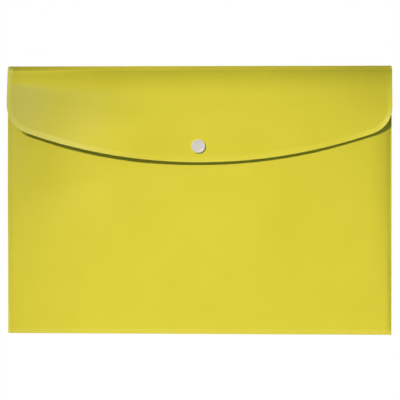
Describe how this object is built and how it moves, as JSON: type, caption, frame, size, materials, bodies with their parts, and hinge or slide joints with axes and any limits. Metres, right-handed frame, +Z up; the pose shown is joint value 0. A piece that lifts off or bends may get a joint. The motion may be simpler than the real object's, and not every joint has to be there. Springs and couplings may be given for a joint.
{
  "type": "document wallet",
  "caption": "Landscape document wallet in yellow plastic sheet: a pocket with welded sides and an arched, round-cornered flap on a creased fold, closed by a pale press stud.",
  "frame": {"origin": "middle of the wallet's outline, on the underside of the back panel", "axes": "+X along the folds to the right as the front is seen, +Y from the bottom fold to the flap's fold, +Z up out of the front"},
  "size_m": [0.335, 0.234, 0.0131],
  "materials": {
    "wallet_sheet": "yellow polypropylene sheet with a fine satin grain",
    "weld": "the same sheet, pressed smoother where it is welded",
    "snap_plastic": "pale grey moulded plastic, satin"
  },
  "bodies": {
    "pocket": {"back_panel": "wallet_sheet", "front_panel": "wallet_sheet", "bottom_fold": "wallet_sheet", "left_weld_seam": "weld", "right_weld_seam": "weld", "snap_stud": "snap_plastic", "snap_rear_cap": "snap_plastic"},
    "fold": {"fold_strip": "wallet_sheet"},
    "flap": {"flap": "wallet_sheet", "snap_cap": "snap_plastic", "snap_socket": "snap_plastic"}
  },
  "joints": [
    {"name": "back_crease", "type": "hinge", "parent": "pocket", "child": "fold", "pos_m": [0, 0.1169, 0.0001], "axis": [-1, 0, 0], "range_deg": [0, 109.2]},
    {"name": "front_crease", "type": "hinge", "parent": "fold", "child": "flap", "pos_m": [0, 0.1124, 0.013], "axis": [-1, 0, 0], "range_deg": [0, 70.7]}
  ]
}
